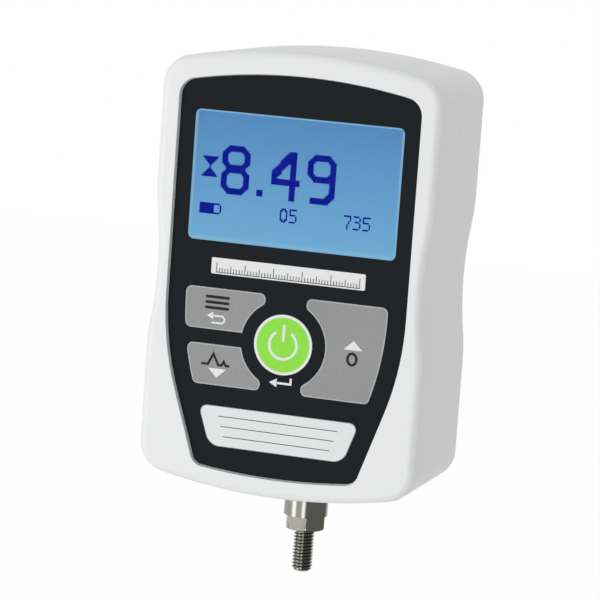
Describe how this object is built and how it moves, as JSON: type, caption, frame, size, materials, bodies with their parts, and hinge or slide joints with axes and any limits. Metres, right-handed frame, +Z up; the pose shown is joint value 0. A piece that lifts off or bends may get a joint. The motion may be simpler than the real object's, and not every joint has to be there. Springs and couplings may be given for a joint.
{
  "type": "digital force gauge",
  "caption": "Hand-held digital force gauge with a threaded loading shaft below, a blue display, membrane keys round a green power button and mounting holes in the back.",
  "frame": {"origin": "on the loading axis, at the shoulder where the threaded stud meets its hexagon", "axes": "+Z up the loading axis into the housing, -Y out of the display, +X to the right as the display is read"},
  "size_m": [0.066, 0.038, 0.1234],
  "materials": {
    "cast_paint": "satin paint on cast aluminium",
    "panel_print": "printed film, semi-gloss",
    "key_grey": "embossed printed film",
    "key_green": "embossed printed film, glossy",
    "clear_pane": "clear",
    "display_blue": "liquid crystal glass, backlit blue",
    "frame_steel": "bent tinned sheet",
    "backlight_white": "milky light guide",
    "strip_rubber": "conductive striped rubber",
    "board_green": "solder mask over glass fibre",
    "screw_steel": "zinc plated",
    "dome_steel": "stainless spring steel",
    "chip_black": "moulded epoxy",
    "header_white": "moulded nylon",
    "socket_black": "moulded nylon",
    "insert_brass": "machined",
    "insert_steel": "machined",
    "beam_aluminium": "milled",
    "gauge_foil": "polyimide film with foil grid",
    "shaft_steel": "turned stainless steel",
    "battery_case": "printed steel jacket",
    "snap_black": "moulded cap",
    "foam": "closed-cell foam",
    "lead_red": "wire insulation"
  },
  "bodies": {
    "housing": {"front_housing": "cast_paint", "rear_housing": "cast_paint", "overlay_panel": "panel_print", "display_pane": "clear_pane", "display_glass": "display_blue", "display_frame": "frame_steel", "backlight": "backlight_white", "contact_strips": "strip_rubber", "main_board": "board_green", "board_screws": "screw_steel", "snap_domes": "dome_steel", "board_chips": "chip_black", "board_headers": "header_white", "data_socket": "frame_steel", "charging_socket": "socket_black", "captive_screws": "screw_steel", "screw_retainers": "screw_steel", "threaded_inserts": "insert_brass", "dowel_insert": "insert_steel", "load_cell": "beam_aluminium", "strain_gauges": "gauge_foil", "load_cell_screws": "screw_steel", "overload_pins": "shaft_steel", "battery": "battery_case", "battery_snap": "snap_black", "battery_pads": "foam", "battery_leads": "lead_red", "load_cell_leads": "lead_red", "charging_leads": "lead_red"},
    "menu_key": {"menu_key": "key_grey"},
    "peak_key": {"peak_key": "key_grey"},
    "zero_key": {"zero_key": "key_grey"},
    "power_key": {"power_key": "key_green"},
    "loading_shaft": {"loading_shaft": "shaft_steel", "shaft_washer": "screw_steel", "shaft_nut": "screw_steel"}
  },
  "joints": [
    {"name": "menu_press", "type": "slide", "parent": "housing", "child": "menu_key", "axis": [0, 1, 0], "range_m": [0, 0.0004], "stiffness_N_per_m": 300, "springref_m": -0.001, "deforming": ["snap_domes"]},
    {"name": "peak_press", "type": "slide", "parent": "housing", "child": "peak_key", "axis": [0, 1, 0], "range_m": [0, 0.0004], "stiffness_N_per_m": 300, "springref_m": -0.001, "deforming": ["snap_domes"]},
    {"name": "zero_press", "type": "slide", "parent": "housing", "child": "zero_key", "axis": [0, 1, 0], "range_m": [0, 0.0004], "stiffness_N_per_m": 300, "springref_m": -0.001, "deforming": ["snap_domes"]},
    {"name": "power_press", "type": "slide", "parent": "housing", "child": "power_key", "axis": [0, 1, 0], "range_m": [0, 0.0004], "stiffness_N_per_m": 300, "springref_m": -0.001, "deforming": ["snap_domes"]},
    {"name": "shaft_slide", "type": "slide", "parent": "housing", "child": "loading_shaft", "axis": [0, 0, 1], "range_m": [-0.00038, 0.00038], "stiffness_N_per_m": 3000, "deforming": ["load_cell", "strain_gauges", "load_cell_leads"]}
  ]
}
